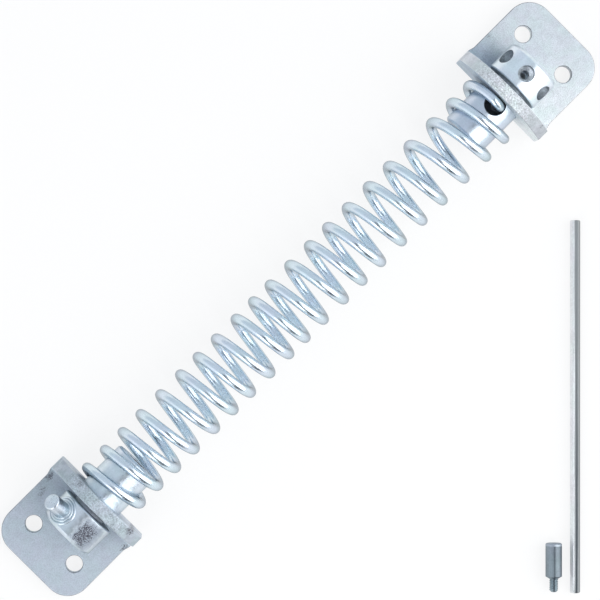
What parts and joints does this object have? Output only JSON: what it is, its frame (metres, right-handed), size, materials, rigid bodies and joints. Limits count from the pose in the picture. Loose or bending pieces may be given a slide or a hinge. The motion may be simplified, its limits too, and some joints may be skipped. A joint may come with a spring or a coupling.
{
  "type": "gate spring closer",
  "caption": "Torsion spring closer for a gate: a coil spring between turning hubs in screw-on angle brackets, with a stop pin, a loose lock pin and a hexagonal adjusting rod.",
  "frame": {"origin": "middle of the lower bracket's two screw holes, on the back face of both brackets", "axes": "+X along the spring from the lower to the upper bracket, +Y across the closer away from the loose pieces, +Z away from the gate"},
  "size_m": [0.29, 0.1773, 0.0335],
  "materials": {
    "bracket_plating": "zinc plated, satin and slightly mottled",
    "hub_plating": "zinc plated, turned and bright",
    "spring_plating": "zinc plated, drawn and bright",
    "pin_plating": "zinc plated, satin",
    "rod_plating": "zinc plated, bright"
  },
  "bodies": {
    "lower_bracket": {"lower_bracket": "bracket_plating"},
    "lower_hub": {"lower_hub": "hub_plating", "lower_stop_pin": "pin_plating", "spring": "spring_plating"},
    "upper_hub": {"upper_hub": "hub_plating"},
    "upper_bracket": {"upper_bracket": "bracket_plating"},
    "lock_pin": {"lock_pin": "pin_plating"},
    "adjusting_rod": {"adjusting_rod": "rod_plating"}
  },
  "joints": [
    {"name": "lower_hub_turn", "type": "hinge", "parent": "lower_bracket", "child": "lower_hub", "pos_m": [0.0238, 0, 0.01715], "axis": [1, 0, 0], "range_deg": [-78, 160]},
    {"name": "spring_twist", "type": "hinge", "parent": "lower_hub", "child": "upper_hub", "pos_m": [0.1318, 0, 0.01715], "axis": [1, 0, 0], "range_deg": [-60, 360], "stiffness_Nm_per_rad": 1.38, "deforming": ["spring"]},
    {"name": "upper_hub_turn", "type": "hinge", "parent": "upper_hub", "child": "upper_bracket", "pos_m": [0.2398, 0, 0.01715], "axis": [1, 0, 0], "continuous": true},
    {"name": "lock_pin_lift", "type": "slide", "parent": "lower_bracket", "child": "lock_pin", "axis": [0, 0, 1], "range_m": [0, 0.06]},
    {"name": "adjusting_rod_lift", "type": "slide", "parent": "lower_bracket", "child": "adjusting_rod", "axis": [0, 0, 1], "range_m": [0, 0.06]}
  ]
}
